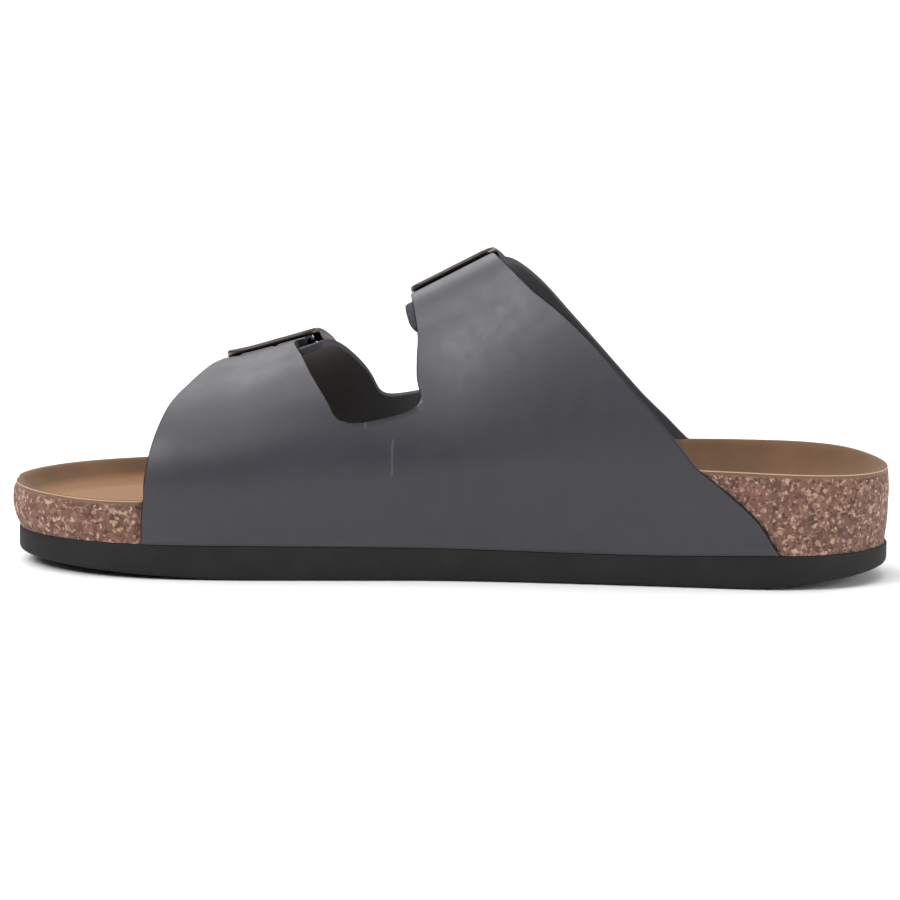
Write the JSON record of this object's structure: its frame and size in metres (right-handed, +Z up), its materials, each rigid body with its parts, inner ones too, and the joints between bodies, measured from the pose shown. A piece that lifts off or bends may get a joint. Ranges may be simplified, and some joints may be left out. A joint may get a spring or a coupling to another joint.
{
  "type": "two-strap cork footbed sandal",
  "caption": "Right-foot slip-on sandal with a moulded cork footbed, wide dark leather straps over the instep and toes, and metal buckles on the outer side.",
  "frame": {"origin": "middle of the sandal's box, on the floor it stands on", "axes": "+Y towards the heel and -Y towards the toe, +X towards the inner side of the foot, +Z up"},
  "size_m": [0.0992, 0.2856, 0.1038],
  "materials": {
    "sole_rubber": "matt black foam rubber with a fine grain",
    "cork": "pressed cork granules, matt",
    "suede_lining": "tan suede with a short nap",
    "strap_leather": "smooth dark grey leather with a low sheen and a darker back",
    "antique_bronze": "dark antique bronze plating, worn bright on the edges"
  },
  "bodies": {
    "root": {"outsole": "sole_rubber", "footbed": "cork", "insole_lining": "suede_lining", "upper_inner_quarter": "strap_leather", "upper_outer_quarter": "strap_leather", "buckle_frame_rear": "antique_bronze", "buckle_prong_rear": "antique_bronze", "buckle_loop_rear": "strap_leather", "buckle_frame_front": "antique_bronze", "buckle_prong_front": "antique_bronze", "buckle_loop_front": "strap_leather"}
  },
  "joints": []
}
